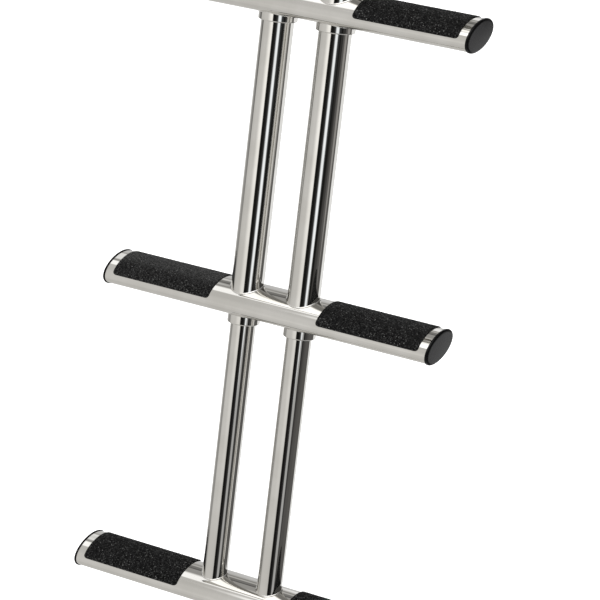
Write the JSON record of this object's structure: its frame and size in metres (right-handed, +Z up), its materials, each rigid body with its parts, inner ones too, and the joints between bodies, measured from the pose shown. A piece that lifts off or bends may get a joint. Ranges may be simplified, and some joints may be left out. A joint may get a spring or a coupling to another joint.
{
  "type": "telescopic boat ladder",
  "caption": "Telescopic boarding ladder in polished stainless tube: oval treads with black grip pads on paired tubes that slide inside one another, on a mounting plate.",
  "frame": {"origin": "centre of the mounting plate's flat boat-side face", "axes": "+X along the treads, to the climber's right; +Y out of the mounting plate's face, towards the boat; +Z up. The treads are level, and the tubes lean 17.5 degrees from upright, top towards the boat"},
  "size_m": [0.3648, 0.3309, 0.8752],
  "materials": {
    "polished_steel": "mirror-polished stainless steel",
    "non_slip_pad": "matt black grit sheet",
    "black_plastic": "glossy black moulded plastic",
    "nylon": "natural white nylon"
  },
  "bodies": {
    "upper_stage": {"mounting_plate": "polished_steel", "web_left": "polished_steel", "web_right": "polished_steel", "upper_tube_left": "polished_steel", "upper_tube_right": "polished_steel", "upper_tube_plug_left": "black_plastic", "upper_tube_plug_right": "black_plastic", "upper_bush_left": "nylon", "upper_bush_right": "nylon", "upper_tread": "polished_steel", "upper_pad_left": "non_slip_pad", "upper_pad_right": "non_slip_pad", "upper_end_cap_left": "black_plastic", "upper_end_cap_right": "black_plastic"},
    "middle_stage": {"middle_tube_left": "polished_steel", "middle_tube_right": "polished_steel", "middle_bush_left": "nylon", "middle_bush_right": "nylon", "middle_stop_ring_left": "nylon", "middle_stop_ring_right": "nylon", "middle_tread": "polished_steel", "middle_pad_left": "non_slip_pad", "middle_pad_right": "non_slip_pad", "middle_end_cap_left": "black_plastic", "middle_end_cap_right": "black_plastic"},
    "lower_stage": {"lower_tube_left": "polished_steel", "lower_tube_right": "polished_steel", "lower_stop_ring_left": "nylon", "lower_stop_ring_right": "nylon", "lower_tread": "polished_steel", "lower_pad_left": "non_slip_pad", "lower_pad_right": "non_slip_pad", "lower_end_cap_left": "black_plastic", "lower_end_cap_right": "black_plastic"}
  },
  "joints": [
    {"name": "middle_stage_slide", "type": "slide", "parent": "upper_stage", "child": "middle_stage", "axis": [0, 0.3007, 0.9537], "range_m": [0, 0.25]},
    {"name": "lower_stage_slide", "type": "slide", "parent": "middle_stage", "child": "lower_stage", "axis": [0, 0.3007, 0.9537], "range_m": [0, 0.25]}
  ]
}
